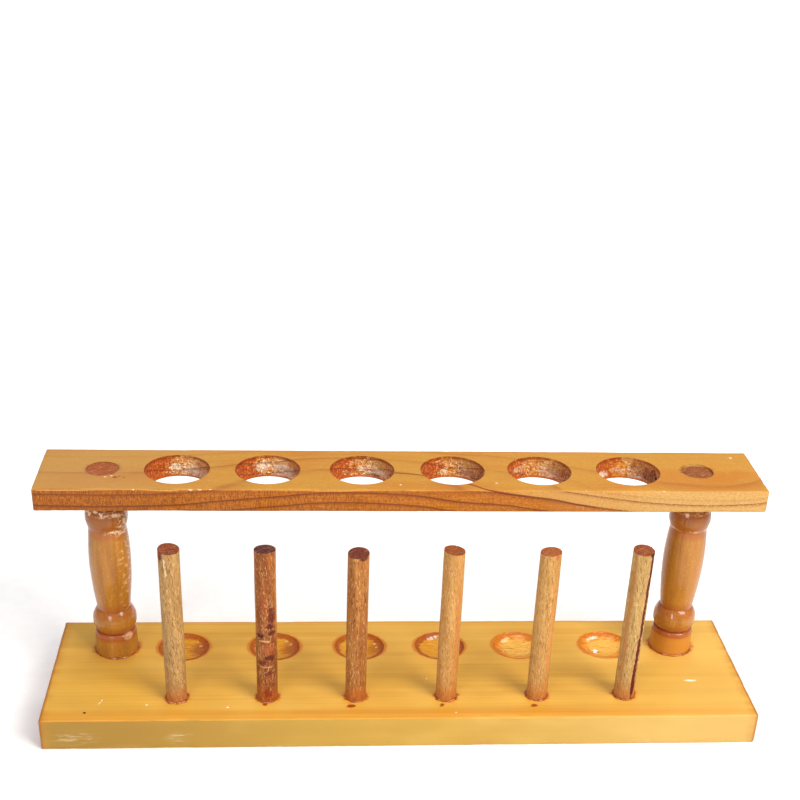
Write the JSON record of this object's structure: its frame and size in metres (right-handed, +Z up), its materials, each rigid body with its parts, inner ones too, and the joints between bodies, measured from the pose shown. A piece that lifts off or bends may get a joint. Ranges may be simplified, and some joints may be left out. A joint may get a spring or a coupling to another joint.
{
  "type": "test tube rack",
  "caption": "Low wooden test tube rack: a drilled board on turned posts over a base board with dished seats, and a front row of upright drying pegs.",
  "frame": {"origin": "middle of the base board's underside, which is the middle of the bounding box's bottom", "axes": "+X along the boards to the right, +Y from the peg row to the tube row (back), +Z up"},
  "size_m": [0.25, 0.063, 0.085],
  "materials": {
    "base_pine": "satin clear lacquer over pale pine",
    "top_fir": "satin clear lacquer over orange-tan fir",
    "turned_post": "glossy lacquer over turned wood",
    "dowel_pale": "raw pale dowel",
    "dowel_red": "raw reddish-brown dowel",
    "dowel_tan": "raw tan dowel",
    "amber_glue": "glossy amber glue and pooled lacquer",
    "pale_glue": "milky dried wood glue"
  },
  "bodies": {
    "root": {"base_board": "base_pine", "top_board": "top_fir", "post_left": "turned_post", "post_right": "turned_post", "peg_1": "dowel_pale", "peg_2": "dowel_red", "peg_3": "dowel_red", "peg_4": "dowel_tan", "peg_5": "dowel_tan", "peg_6": "dowel_pale", "peg_glue_bead_1": "amber_glue", "peg_glue_bead_2": "amber_glue", "peg_glue_bead_3": "amber_glue", "peg_glue_bead_4": "amber_glue", "peg_glue_bead_5": "amber_glue", "peg_glue_bead_6": "amber_glue", "foot_glue_bead_left": "amber_glue", "foot_glue_bead_right": "amber_glue", "head_glue_bead_left": "pale_glue", "head_glue_bead_right": "pale_glue"}
  },
  "joints": []
}
